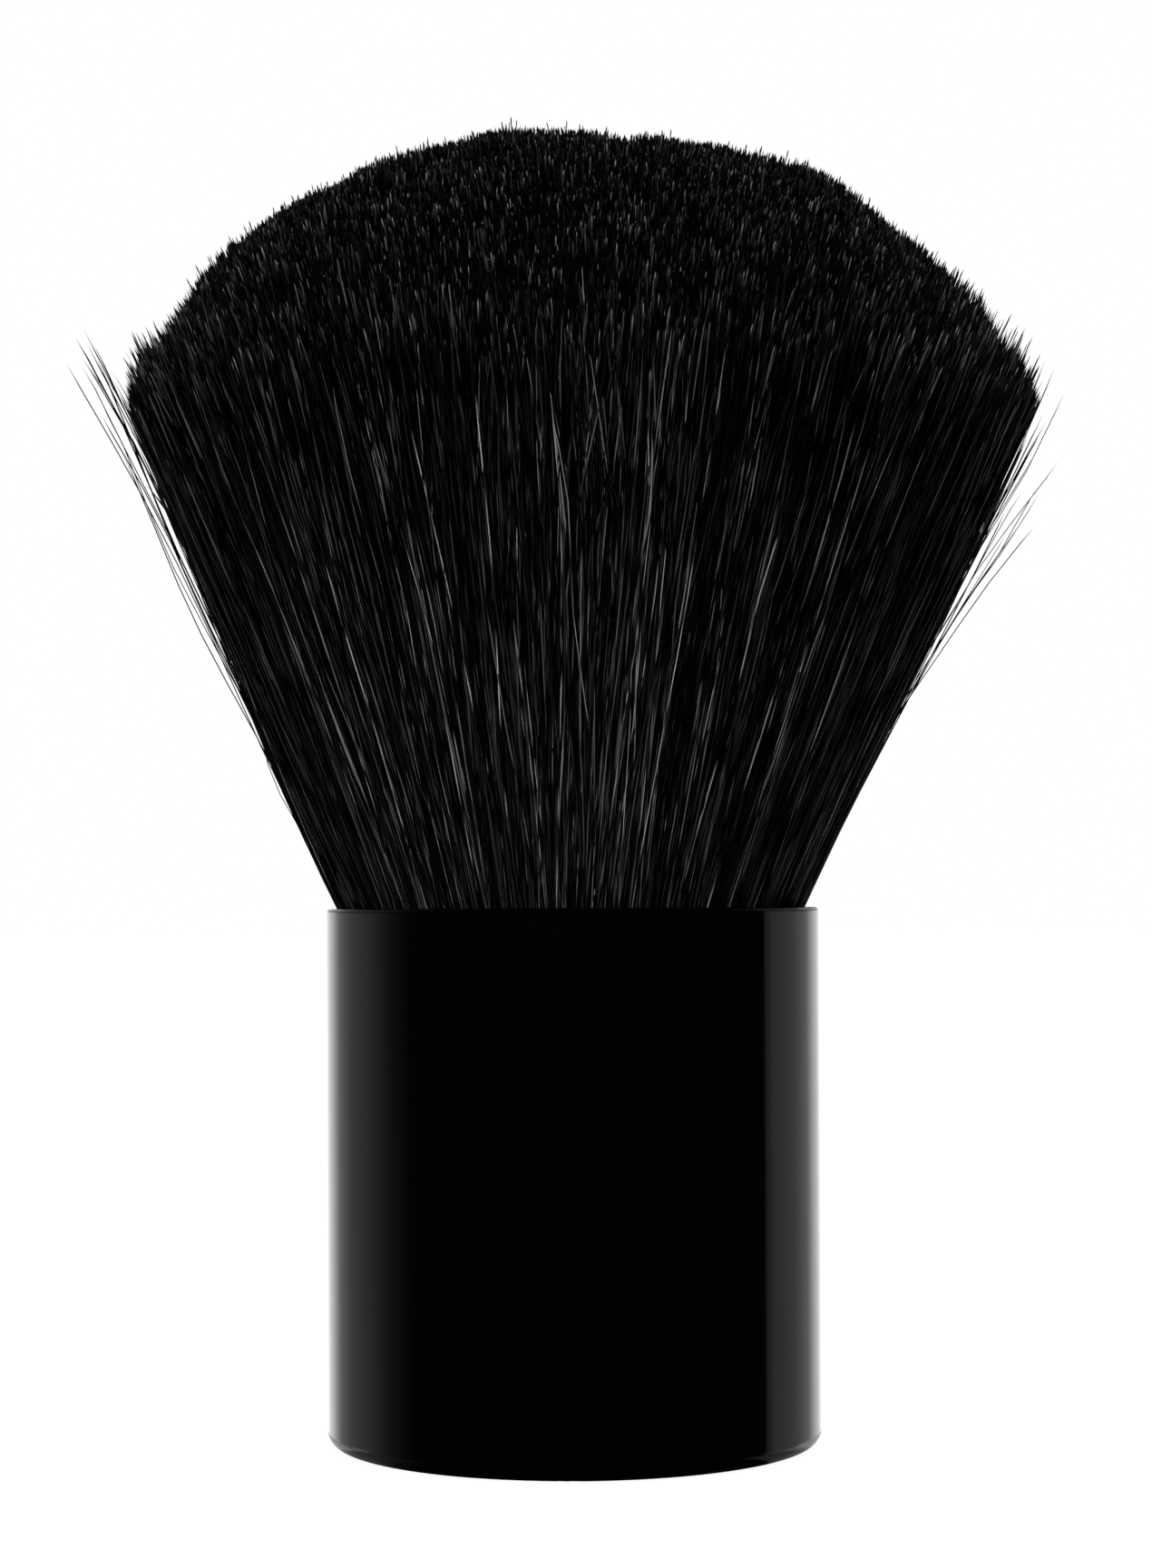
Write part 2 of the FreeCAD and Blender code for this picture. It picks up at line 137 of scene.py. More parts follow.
def paint_walls(tree, to_back, to_right):
    """Greys by how far back a ray points, with one ramp for the left and one for the right."""
    ramps = [
        fill_ramp(
            add_node(tree, "ShaderNodeValToRGB", {"Fac": to_back}),
            [(place, grey(level)) for place, level in greys],
        ).outputs[0]
        for greys in (LEFT_GREYS, RIGHT_GREYS)
    ]
    is_right = add_node(tree, "ShaderNodeMath", {0: to_right}, {1: 0.0}, operation="GREATER_THAN")
    sides = {"Factor": is_right.outputs[0], 6: ramps[0], 7: ramps[1]}
    return add_node(tree, "ShaderNodeMix", sides, data_type="RGBA").outputs[2]


world = bpy.data.worlds.new("studio_room")
scene.world = world
world.use_nodes = True
room = world.node_tree
room.nodes.clear()

direction = add_node(room, "ShaderNodeTexCoord").outputs["Generated"]
across = add_node(room, "ShaderNodeSeparateXYZ", {0: direction})
to_back = add_node(
    room, "ShaderNodeMapRange", {"Value": across.outputs["Y"]}, {"From Min": -1.0, "From Max": 1.0}
)
walls = paint_walls(room, to_back.outputs[0], across.outputs["X"])
print("the walls have", len(LEFT_GREYS), "and", len(RIGHT_GREYS), "greys")

# %% [markdown]
# The white table sends light up from below, more of it on the left where the first lamp stands.
# Mirrored rays don't see it, so that no pale line runs along the foot, and for them the walls are
# dimmer above the rim, so that its round is as grey as the side below it. A ray that comes straight
# from the camera sees plain white, as in a picture with its background cleared.

# %% Add the table and the white backdrop
height = add_node(
    room, "ShaderNodeMapRange", {"Value": across.outputs["Z"]}, {"From Min": -1.0, "From Max": 1.0}
)
table = fill_ramp(
    add_node(room, "ShaderNodeValToRGB", {"Fac": height.outputs[0]}),
    [(0.25, grey(0.8)), (0.37, grey(0.0))],
)
from_left = add_node(
    room, "ShaderNodeMapRange", {"Value": across.outputs["X"]},
    {"From Min": -1.0, "From Max": 1.0, "To Min": 0.36, "To Max": 0.1},
)
table_glow = add_node(
    room, "ShaderNodeVectorMath", {0: table.outputs[0], "Scale": from_left.outputs[0]},
    operation="SCALE",
)
seen = add_node(room, "ShaderNodeLightPath")
matt = add_node(
    room, "ShaderNodeMath", {1: seen.outputs["Is Glossy Ray"]}, {0: 1.0}, operation="SUBTRACT"
)
over_rim = add_node(
    room, "ShaderNodeMapRange", {"Value": across.outputs["Z"]},
    {"From Min": 0.03, "From Max": 0.1, "To Min": 0.0, "To Max": 0.55},
)
dimming = add_node(
    room, "ShaderNodeMath", {0: over_rim.outputs[0], 1: seen.outputs["Is Glossy Ray"]},
    operation="MULTIPLY",
)
screens = add_node(
    room, "ShaderNodeMix", {"Factor": dimming.outputs[0], 6: walls}, {7: grey(0.0)}, data_type="RGBA"
)
glow = add_node(
    room, "ShaderNodeMix",
    {"Factor": matt.outputs[0], 6: screens.outputs[2], 7: table_glow.outputs[0]},
    data_type="RGBA", blend_type="LIGHTEN",
)
backdrop = add_node(
    room, "ShaderNodeMix", {"Factor": seen.outputs["Is Camera Ray"], 6: glow.outputs[2]},
    {7: grey(1.0)}, data_type="RGBA",
)
room_light = add_node(
    room, "ShaderNodeBackground", {"Color": backdrop.outputs[2]}, {"Strength": 1.0}
)
add_node(room, "ShaderNodeOutputWorld", {"Surface": room_light.outputs[0]})
print("the studio has", len(room.nodes), "nodes")

# %% [markdown]
# The floor is a wide sheet of white paper. Close to the foot it is mostly lit from within, so that
# it stays white, and partly by the lamps, so that the brush keeps a faint shadow. Further away it is
# plain white and meets the backdrop with no horizon.

# %% Lay the floor
FLOOR_RADIUS = 4.0
FLOOR_DROP = 0.05 * MM
FADE_START = 40 * MM
FADE_END = 250 * MM

bpy.ops.object.select_all(action="DESELECT")
bpy.ops.mesh.primitive_circle_add(
    vertices=64, radius=FLOOR_RADIUS, fill_type="NGON", location=(0, 0, -FLOOR_DROP)
)
floor = bpy.context.object
floor.name = "studio_floor"
floor.visible_diffuse = False
floor.visible_glossy = False
floor.visible_shadow = False

paper = bpy.data.materials.new("white_paper")
paper.use_nodes = True
tree = paper.node_tree
tree.nodes.clear()
lit = add_node(tree, "ShaderNodeBsdfDiffuse", values={"Color": grey(0.85)})
shine = add_node(tree, "ShaderNodeEmission", values={"Color": grey(1.0), "Strength": 1.18})
spot = add_node(tree, "ShaderNodeTexCoord").outputs["Object"]
away = add_node(tree, "ShaderNodeVectorMath", {0: spot}, operation="LENGTH")
plain = add_node(
    tree, "ShaderNodeMapRange", {"Value": away.outputs["Value"]},
    {"From Min": FADE_START, "From Max": FADE_END, "To Min": 0.8, "To Max": 1.0},
)
seen = add_node(tree, "ShaderNodeLightPath").outputs["Is Camera Ray"]
share = add_node(tree, "ShaderNodeMath", {0: seen, 1: plain.outputs[0]}, operation="MULTIPLY")
blend = add_node(
    tree, "ShaderNodeMixShader", {0: share.outputs[0], 1: lit.outputs[0], 2: shine.outputs[0]}
)
add_node(tree, "ShaderNodeOutputMaterial", {"Surface": blend.outputs[0]})
floor.data.materials.append(paper)
print("floor radius:", FLOOR_RADIUS, "m")

# %% [markdown]
# One large soft box to the left of the camera draws the fine streaks on the hair, another overhead
# picks out the tips of the crown, and a soft spot beside the camera lifts the middle of the tuft, so
# that it fades to dark at both sides. Lamps like these get flags and filters that keep their mirror
# images off a gloss handle. Here they are simply hidden from mirrored rays.

# %% Hang the lamps
LAMP_AIM = Vector((0.0, 0.0, 0.05))
SPOT_AIM = Vector((0.002, 0.0, 0.047))
LEFT_PLACE = (-0.33, -0.67, 0.33)
TOP_PLACE = (0.10, -0.25, 0.60)
SPOT_PLACE = (-0.08, -0.70, 0.06)
BOX_SIZE = 0.5


def hang_lamp(lamp_data, place, aim):
    """Hang a lamp at a place, aimed at a point of the brush."""
    lamp = bpy.data.objects.new(lamp_data.name, lamp_data)
    lamp.location = place
    lamp.rotation_euler = (aim - lamp.location).to_track_quat("-Z", "Y").to_euler()
    lamp.visible_glossy = False
    scene.collection.objects.link(lamp)
    print(lamp.name, "hangs", round((aim - lamp.location).length, 2), "m away")


soft_box = bpy.data.lights.new("soft_box", "AREA")
soft_box.size = BOX_SIZE
soft_box.energy = 2.7
hang_lamp(soft_box, LEFT_PLACE, LAMP_AIM)

top_box = bpy.data.lights.new("top_box", "AREA")
top_box.size = BOX_SIZE
top_box.energy = 3.2
hang_lamp(top_box, TOP_PLACE, LAMP_AIM)

soft_spot = bpy.data.lights.new("soft_spot", "SPOT")
soft_spot.spot_size = math.radians(3.4)
soft_spot.spot_blend = 1.0
soft_spot.shadow_soft_size = 0.006
soft_spot.energy = 14.5
hang_lamp(soft_spot, SPOT_PLACE, SPOT_AIM)

# %% [markdown]
# The round of the foot mirrors what lies under it. A white table would draw a pale line along the
# foot, and a black card a dark lip. So a card a little wider than the handle lies there, which only
# mirrored rays see, and glows faintly in the greys of the walls. A place on the side mirrors the wall
# as far back as the square of its distance across, and the card is painted by the same rule, so the
# greys of the side run on down to the edge of the foot.

# %% Lay the card under the foot
CARD_RADIUS = 16.5 * MM
CARD_DROP = 0.02 * MM
CARD_GLOW = 0.5
HANDLE_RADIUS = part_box("handle_shell")[1][0]

bpy.ops.object.select_all(action="DESELECT")
bpy.ops.mesh.primitive_circle_add(
    vertices=48, radius=CARD_RADIUS, fill_type="NGON", location=(0, 0, -CARD_DROP)
)
card = bpy.context.object
card.name = "grey_card"
card.visible_camera = False
card.visible_diffuse = False
card.visible_shadow = False

paint = bpy.data.materials.new("grey_card")
paint.use_nodes = True
tree = paint.node_tree
tree.nodes.clear()
spot = add_node(tree, "ShaderNodeTexCoord").outputs["Object"]
aside = add_node(tree, "ShaderNodeSeparateXYZ", {0: spot}).outputs["X"]
out = add_node(tree, "ShaderNodeMath", {0: aside}, {1: HANDLE_RADIUS}, operation="DIVIDE").outputs[0]
square = add_node(tree, "ShaderNodeMath", {0: out, 1: out}, operation="MULTIPLY").outputs[0]
shine = add_node(
    tree, "ShaderNodeEmission", {"Color": paint_walls(tree, square, aside)}, {"Strength": CARD_GLOW}
)
add_node(tree, "ShaderNodeOutputMaterial", {"Surface": shine.outputs[0]})
card.data.materials.append(paint)
print("the card is", round(card.dimensions.x / MM), "mm wide")

# %% [markdown]
# The handle is a thin metal tube, sprayed with black lacquer that was cured to a gloss. Its solid
# has the right shape, so it only needs the finish. Such a coat is smooth to the touch, yet a mirrored
# edge in it looks a little grainy, because the film dries with fine orange peel and takes up dust.
# Two noises give that: one bends the surface a little, the other changes its gloss.

# %% Lacquer the handle
PEEL_SIZE = 0.5 * MM
DUST_SIZE = 3 * MM


def new_finish(name):
    """A new material with a Principled shader, and its node tree."""
    material = bpy.data.materials.new(name)
    material.use_nodes = True
    tree = material.node_tree
    return material, tree, tree.nodes["Principled BSDF"]


def dress_node(name, material):
    """Give a solid of the frame one material in all its slots."""
    slots = nodes[name].material_slots
    if not slots:
        nodes[name].data.materials.append(material)
    for held in slots:
        held.material = material
    print(name, "has", material.name)


# Sprayed lacquer: deep black, mirror-like, with a slightly uneven gloss.
lacquer, tree, shader = new_finish("gloss_black_lacquer")
place = add_node(tree, "ShaderNodeTexCoord").outputs["Object"]
peel = add_node(tree, "ShaderNodeTexNoise", {"Vector": place}, {"Scale": 1 / PEEL_SIZE, "Detail": 2.0})
dust = add_node(tree, "ShaderNodeTexNoise", {"Vector": place}, {"Scale": 1 / DUST_SIZE, "Detail": 4.0})
sheen = add_node(
    tree, "ShaderNodeMapRange", {"Value": dust.outputs[0]},
    {"From Min": 0.4, "From Max": 0.7, "To Min": 0.05, "To Max": 0.09},
)
ripple = add_node(
    tree, "ShaderNodeBump", {"Height": peel.outputs[0]}, {"Strength": 0.03, "Distance": 0.01 * MM}
)
shader.inputs["Base Color"].default_value = linear("#020202")
shader.inputs["IOR"].default_value = 1.5
tree.links.new(sheen.outputs[0], shader.inputs["Roughness"])
tree.links.new(ripple.outputs[0], shader.inputs["Normal"])
dress_node("handle_shell", lacquer)

# %% [markdown]
# The other pieces of the handle are hidden inside it, and only the base plate shows when the brush
# is turned over. Each still gets the finish of its real material, for the day somebody takes the
# brush apart. All of them have a grain that changes the colour, the gloss and the relief together:
# the sparkle of a moulded plate, the rings of a turned weight, the lines of a drawn cup. So one
# function makes them, from the size of the grain and how far it is drawn out along each axis.

# %% Make a grained finish


def grained(name, colours, grain, drawn_out, roughness, metallic=0.0, ior=None):
    """A material whose grain, of a size in mm, is drawn out by one factor for each axis."""
    material, tree, shader = new_finish(name)
    place = add_node(tree, "ShaderNodeTexCoord").outputs["Object"]
    drawn = add_node(
        tree, "ShaderNodeMapping", {"Vector": place}, {"Scale": [1 / factor for factor in drawn_out]}
    )
    noise = add_node(
        tree, "ShaderNodeTexNoise", {"Vector": drawn.outputs[0]},
        {"Scale": 1 / (grain * MM), "Detail": 3.0},
    )
    tone = fill_ramp(
        add_node(tree, "ShaderNodeValToRGB", {"Fac": noise.outputs[0]}),
        [(0.3, linear(colours[0])), (0.7, linear(colours[1]))],
    )
    gloss = add_node(
        tree, "ShaderNodeMapRange", {"Value": noise.outputs[0]},
        {"From Min": 0.3, "From Max": 0.7, "To Min": roughness[0], "To Max": roughness[1]},
    )
    relief = add_node(
        tree, "ShaderNodeBump", {"Height": noise.outputs[0]},
        {"Strength": 0.25, "Distance": 0.1 * grain * MM},
    )
    for socket, node in (("Base Color", tone), ("Roughness", gloss), ("Normal", relief)):
        tree.links.new(node.outputs[0], shader.inputs[socket])
    shader.inputs["Metallic"].default_value = metallic
    if ior:
        shader.inputs["IOR"].default_value = ior
    return material


# %% [markdown]
# The base plate and the core are injection moulded in ABS. The plate's mould was spark eroded, which
# leaves an even satin sparkle, and the plastic is black all through. The core is never seen, so it
# has the cream colour of plain ABS, with faint clouds where the melt flowed together.

# %% Finish the moulded pieces
EVEN = (1, 1, 1)
ABS_IOR = 1.53

# Spark eroded black ABS: dark satin with a fine sparkle.
dress_node("base_plate", grained(
    "moulded_black_abs", ("#0b0b0b", "#131313"), 0.3, EVEN, (0.4, 0.55), ior=ABS_IOR
))
# Natural ABS: cream, half matt, slightly clouded.
dress_node("handle_core", grained(
    "moulded_natural_abs", ("#c4c0b4", "#cfccc2"), 2.0, EVEN, (0.4, 0.5), ior=ABS_IOR
))

# %% [markdown]
# The weight is a steel ring off the lathe, so its grain runs round it in rings. The cup is drawn
# from aluminium sheet, and the tool leaves fine lines along the way that the metal was pulled.

# %% Finish the metal pieces
TURNED = (20, 20, 1)
DRAWN = (1, 1, 25)

# Turned steel: mid grey metal with fine rings.
dress_node("counterweight", grained(
    "turned_steel", ("#b4b5b7", "#c9cacb"), 0.2, TURNED, (0.25, 0.4), metallic=1.0
))
# Drawn aluminium: pale metal with upright lines.
dress_node("tuft_cup", grained(
    "drawn_aluminium", ("#d0d1d3", "#dfe0e1"), 0.15, DRAWN, (0.22, 0.38), metallic=1.0
))

# %% [markdown]
# Epoxy is poured round the roots of the hair and sets clear and amber, with a glossy skin. The
# thread that ties the bundle above it is spun polyester, matt and slightly hairy.

# %% Finish the resin and the thread
# Cast epoxy: warm amber with a wet gloss.
dress_node("root_resin", grained(
    "cast_epoxy", ("#b98c45", "#cba45e"), 1.5, EVEN, (0.1, 0.2), ior=1.55
))
# Spun polyester: off-white, matt, with fine fibres.
dress_node("binding_thread", grained(
    "spun_polyester", ("#cfcabd", "#e6e2d7"), 0.12, (1, 1, 3), (0.7, 0.9), ior=1.57
))

# %% [markdown]
# The hairs are tied and glued inside the handle, and its mouth lets them fan out, so that they all
# point away from one spot on the axis. The solid of the tuft has the outline of their tips. It gives
# the slope of the fan between two heights, and a ray from the spot to its surface gives the length
# of a hair. A share of 0 is the hair on the axis, and 1 is the outermost.

# %% Measure the fan
FAN_RISE = 20 * MM

tuft = nodes["hair_tuft"]
tuft_low, tuft_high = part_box("hair_tuft")
HAIR_BOTTOM = tuft_low[2]
HAIR_TOP = tuft_high[2]
HAIR_RADIUS = tuft_high[0]


def tuft_radius(height):
    """How far the solid tuft reaches from the axis at a height."""
    _, point, _, _ = tuft.ray_cast(Vector((0.1, 0.0, height)), Vector((-1.0, 0.0, 0.0)))
    return point.x


MOUTH_RADIUS = tuft_radius(RIM_HEIGHT)
FAN_SLOPE = (tuft_radius(RIM_HEIGHT + FAN_RISE) - MOUTH_RADIUS) / FAN_RISE
fan_point = np.array([0.0, 0.0, RIM_HEIGHT - MOUTH_RADIUS / FAN_SLOPE])

shares = np.linspace(0.0, 0.97, 60)
reaches = []
for share in shares:
    ray = Vector((share * FAN_SLOPE, 0.0, 1.0)).normalized()
    _, point, _, _ = tuft.ray_cast(Vector(fan_point) + 0.2 * ray, -ray)
    reaches.append((point - Vector(fan_point)).length)


def reach(share):
    """How long the hair of a share is, from the fan point to its tip."""
    return np.interp(share, shares, reaches)


print("mouth", round(MOUTH_RADIUS / MM, 2), "mm, fan", round(math.degrees(math.atan(FAN_SLOPE)), 2),
      "degrees, hair", round(reach(0) / MM, 1), "mm in the middle")

# %% [markdown]
# One hair is a rod with three sides and a point at both ends. That is enough for something a tenth of
# a millimetre thick, and it keeps the whole tuft light. It is modelled from a ring of three corners,
# which is pulled up step by step, so that the rod can bend at each ring, and both end rings are
# drawn together. Blender's hair curves would be quicker, but a part that goes to other programs
# needs a mesh. Long hairs have rings all along, the tips of the crown only one, close to the point.

# %% Model one hair
MAP_TURN = math.radians(15)


def draw_together(piece, height):
    """Merge the corners at one height to a point."""
    bpy.ops.mesh.select_all(action="DESELECT")
    bpy.ops.object.mode_set(mode="OBJECT")
    for corner in piece.data.vertices:
        corner.select = abs(corner.co.z - height) < 0.001
    bpy.ops.object.mode_set(mode="EDIT")
    bpy.ops.mesh.merge(type="CENTER")


def model_hair(name, heights):
    """A hair 1 long and 1 in radius, with a ring at each height, as corners, triangles and a map."""
    bpy.ops.object.select_all(action="DESELECT")
    bpy.ops.mesh.primitive_circle_add(vertices=3, radius=1, fill_type="NOTHING")
    hair = bpy.context.object
    bpy.ops.object.mode_set(mode="EDIT")
    for step in np.diff([0, *heights, 1]):
        bpy.ops.mesh.extrude_region_move(TRANSFORM_OT_translate={"value": (0, 0, step)})
    draw_together(hair, 0)
    draw_together(hair, 1)
    bpy.ops.mesh.select_all(action="SELECT")
    bpy.ops.mesh.normals_make_consistent(inside=False)
    bpy.ops.mesh.quads_convert_to_tris()
    bpy.ops.object.mode_set(mode="OBJECT")
    corners = np.array([corner.co for corner in hair.data.vertices])
    faces = np.array([face.vertices for face in hair.data.polygons])
    bpy.data.objects.remove(hair)
    spread = np.cos(np.arctan2(corners[:, 1], corners[:, 0]) + MAP_TURN)
    across = 0.5 + 0.5 * spread * (np.hypot(corners[:, 0], corners[:, 1]) > 0.5)
    print(name, "has", len(faces), "faces")
    return {"corners": corners, "faces": faces, "across": across[faces], "along": corners[faces][:, :, 2]}


long_hair = model_hair("long hair", np.linspace(0.02, 0.988, 6))
loose_hair = model_hair("loose hair", np.linspace(0.02, 0.96, 10))
crown_tip = model_hair("crown tip", [0.93])

# %% [markdown]
# No tuft is as even as its solid. This one is pressed in on the left, where a loose lock has come away
# from it, and its crown has two low swells and leans a little to the right. The same function moves
# every hair, so that neighbours stay neighbours. The dent is given at a few heights, from 0 at the rim
# to 1 at the top, and a swell by its place across the crown, its width and its height.

# %% Give the tuft its own shape
DENT_HEIGHTS = (0.0, 0.2, 0.5, 0.65, 0.8, 1.0)
DENT_DEPTHS = (0.0, 0.4 * MM, 1.15 * MM, 1.3 * MM, 0.5 * MM, 0.4 * MM)
DENT_WIDTH = 0.55
LEAN = 0.25 * MM
SWELLS = ((-4 * MM, 3.5 * MM, 0.4 * MM), (14 * MM, 5 * MM, 0.5 * MM))


def settle(points):
    """Move points of the even fan to where the hair of this tuft lies."""
    x, y, z = np.moveaxis(points, -1, 0)
    height = np.clip((z - RIM_HEIGHT) / (HAIR_TOP - RIM_HEIGHT), 0, 1)
    radius = np.maximum(np.hypot(x, y), 0.001 * MM)
    share = radius / np.maximum(MOUTH_RADIUS + FAN_SLOPE * (z - RIM_HEIGHT), MM)
    at_left = np.exp(-(np.arctan2(y, -x) / DENT_WIDTH) ** 2)
    pressed = at_left * np.interp(height, DENT_HEIGHTS, DENT_DEPTHS)
    inwards = 1 - pressed * share ** 2 / radius
    for place, width, rise in SWELLS:
        z = z + rise * height ** 3 * np.exp(-((x - place) / width) ** 2)
    return np.stack([x * inwards + LEAN * height, y * inwards, z], axis=-1)


# %% [markdown]
# A hair is a straight line from its root to its tip, with bends added: a bow that is strongest two
# thirds of the way up, a wave, or a lift that starts some way along. Copies of the modelled hair
# follow these lines, all at once, as columns of numbers. Blender could instance them one by one, but
# a hundred thousand objects would stop it. Each hair also picks a shade, which is its column in the
# texture map. The map runs along the hair in the other direction.

# %% Lay hairs along lines
FULL_TURN = 2 * math.pi
SHADES = 128
MAP_LENGTH = 40 * MM
rng = np.random.default_rng(20)
batches = []


def unit(vectors):
    return vectors / np.linalg.norm(vectors, axis=1, keepdims=True)


def bowed(t):
    """A bow that is 1 high, two thirds of the way up."""
    return 6.75 * t ** 2 * (1 - t)


def bowed_low(t):
    """The same bow upside down, so one third of the way up."""
    return bowed(1 - t)


def waved(cycles):
    """Waves from the root on, each hair with its own count of them."""
    phase = rng.uniform(0, FULL_TURN, (len(cycles), 1))
    return lambda t: t * (np.sin(FULL_TURN * cycles[:, None] * t + phase) - np.sin(phase) * (1 - t))


def lifted(start):
    """A lift that grows from a start on, each hair with its own."""
    return lambda t: np.clip((t - start[:, None]) / (1 - start[:, None]), 0, 1) ** 1.35


def grow(form, root, tip, thick, bends=(), dark=1.0, settled=True):
    """Copy a hair from each root to each tip. bends are pairs of directions and amounts."""
    count, t = len(root), form["corners"][:, 2]
    span = tip - root
    length = np.linalg.norm(span, axis=1)
    path = root[:, None] + span[:, None] * t[:, None]
    for way, amount in bends:
        path = path + way[:, None] * np.broadcast_to(amount(t), (count, len(t)))[:, :, None]
    if settled:
        path = settle(path)
    side = unit(np.cross(span, (0.31, 0.87, 0.21)))
    over = unit(np.cross(side, span))
    angle = np.arctan2(form["corners"][:, 1], form["corners"][:, 0])
    angle = angle + rng.uniform(0, FULL_TURN, (count, 1))
    out = np.hypot(form["corners"][:, 0], form["corners"][:, 1]) * thick[:, None] / 2
    points = path + (out * np.cos(angle))[:, :, None] * side[:, None]
    points = points + (out * np.sin(angle))[:, :, None] * over[:, None]
    shade = np.floor(rng.random(count) ** dark * SHADES)[:, None, None]
    u = (shade + 0.1 + 0.8 * form["across"]) / SHADES
    v = 0.99 - (1 - form["along"]) * np.minimum(length / MAP_LENGTH, 0.98)[:, None, None]
    turn = np.arctan2(root[:, 1], root[:, 0]) % FULL_TURN
    batches.append((form, turn, points, np.stack([u, v], axis=-1)))
    print(count, "hairs laid, of", round(length.min() / MM, 1), "to", round(length.max() / MM, 1), "mm")


# %% [markdown]
# Places on the tuft are given by a share of the fan, a turn about the axis, with 0 on the right and
# half a turn on the left, and a distance from the fan point. Two directions go with a turn: sideways,
# round the tuft, and outwards, square to its side.

# %% Find places on the fan
SIDE_LEAN = math.atan(FAN_SLOPE)
ROOT_DEPTH = 2 * MM
ROOT_DISTANCE = (RIM_HEIGHT - ROOT_DEPTH - fan_point[2]) / math.cos(SIDE_LEAN)


def on_fan(share, turn, distance):
    """Points on the lines of the hairs, at a distance from the fan point."""
    flat = share * FAN_SLOPE
    ray = np.stack([flat * np.cos(turn), flat * np.sin(turn), np.ones_like(turn)], axis=1)
    return fan_point + unit(ray) * np.broadcast_to(distance, turn.shape)[:, None]


def sideways(turn, amount):
    return np.stack([-np.sin(turn), np.cos(turn), np.zeros_like(turn)], axis=1) * amount[:, None]


def outwards(turn, amount):
    level, fall = math.cos(SIDE_LEAN), np.full_like(turn, -math.sin(SIDE_LEAN))
    return np.stack([np.cos(turn) * level, np.sin(turn) * level, fall], axis=1) * amount[:, None]


print("the roots lie", round(ROOT_DISTANCE / MM, 1), "mm from the fan point")

# %% [markdown]
# The side of the tuft is a layer of long hairs from inside the rim to the edge of the dome. They
# cling together in slim groups that lean, pinch and bow alike, and a few stray out of their group and
# cross others. More than half of them end early, by a few millimetres, so that the side fades into
# the crown with no hem.

# %% Grow the side
SIDE_HAIRS = 22000
GROUPS = 240
OUTERMOST = 0.985
LAYER = 0.085
STRAY_PART = 0.07
SHORT_PART = 0.6

n = SIDE_HAIRS
turn = rng.uniform(0, FULL_TURN, n)
group = np.floor(turn / FULL_TURN * GROUPS + rng.normal(0, 0.4, n)).astype(int) % GROUPS
to_group = ((group + 0.5) / GROUPS * FULL_TURN - turn + math.pi) % FULL_TURN - math.pi
group_lean = rng.normal(0, 0.02, GROUPS)[group]
group_pinch = rng.uniform(0, 0.6, GROUPS)[group]
group_sink = np.abs(rng.normal(0, 0.014, GROUPS))[group]
group_rise = rng.normal(0, 0.28 * MM, GROUPS)[group]
group_bow = rng.normal(0, 0.4 * MM, GROUPS)[group]
group_hollow = np.abs(rng.normal(0, 0.25 * MM, GROUPS))[group]
stray = np.where(rng.random(n) < STRAY_PART, rng.normal(0, 0.13, n), 0)

root_share = OUTERMOST - LAYER * rng.random(n) ** 1.3
tip_share = np.minimum(root_share + rng.normal(0, 0.012, n) - group_sink, OUTERMOST)
tip_turn = turn + group_lean + to_group * group_pinch + rng.normal(0, 0.042, n) + stray
cut_short = np.where(rng.random(n) < SHORT_PART, rng.gamma(1.3, 2.8 * MM, n), 0)
end = reach(tip_share) + group_rise + rng.normal(0.2 * MM, 0.6 * MM, n) - cut_short
bow_out = rng.normal(0, 0.12 * MM, n) - group_hollow
wave_count = rng.uniform(0.6, 2.2, n)
grow(
    long_hair, on_fan(root_share, turn, ROOT_DISTANCE), on_fan(tip_share, tip_turn, end),
    rng.uniform(0.06, 0.105, n) * MM,
    [(sideways(turn, group_bow + rng.normal(0, 0.3 * MM, n)), bowed),
     (outwards(turn, bow_out), bowed),
     (sideways(turn, rng.normal(0, 0.18 * MM, n)), waved(wave_count)),
     (outwards(turn, rng.normal(0, 0.08 * MM, n)), waved(wave_count))],
)

# %% [markdown]
# Single hairs have worked loose all round. They lie on the side, wavier than the rest, and lift off it
# a little towards their tips, so that the outline isn't a clean line.

# %% Loosen single hairs all round
LOOSE_HAIRS = 900
MOST_LIFT = 1.0 * MM

n = LOOSE_HAIRS
turn = rng.uniform(0, FULL_TURN, n)
share = rng.uniform(0.96, OUTERMOST, n)
tip_turn = turn + rng.normal(0, 0.05, n)
end = reach(share) + rng.normal(-2.5 * MM, 2.5 * MM, n)
lift = np.minimum(rng.gamma(1.3, 0.25 * MM, n), MOST_LIFT)
grow(
    loose_hair, on_fan(share, turn, ROOT_DISTANCE), on_fan(share, tip_turn, end),
    rng.uniform(0.06, 0.1, n) * MM,
    [(outwards(turn, rng.normal(0.15 * MM, 0.2 * MM, n)), bowed),
     (sideways(turn, rng.normal(0, 0.25 * MM, n)), waved(rng.uniform(0.8, 2.2, n))),
     (outwards(turn, lift), lifted(rng.uniform(0.1, 0.6, n))),
     (sideways(turn, rng.normal(0, 0.9 * MM, n)), lifted(rng.uniform(0.1, 0.6, n)))],
)

# %% [markdown]
# Two loose locks stand off the outline. The one on the left has kept the line of the fan while the
# tuft was pressed in beside it, and runs on past the dome, its hairs crossing each other. It doesn't
# settle with the rest. Lower down, more hairs bridge the gap between it and the tuft.

# %% Loosen a lock on the left
LOCK_HAIRS = 13
BRIDGE_HAIRS = 70
LOCK_REACH = reach(0.97)

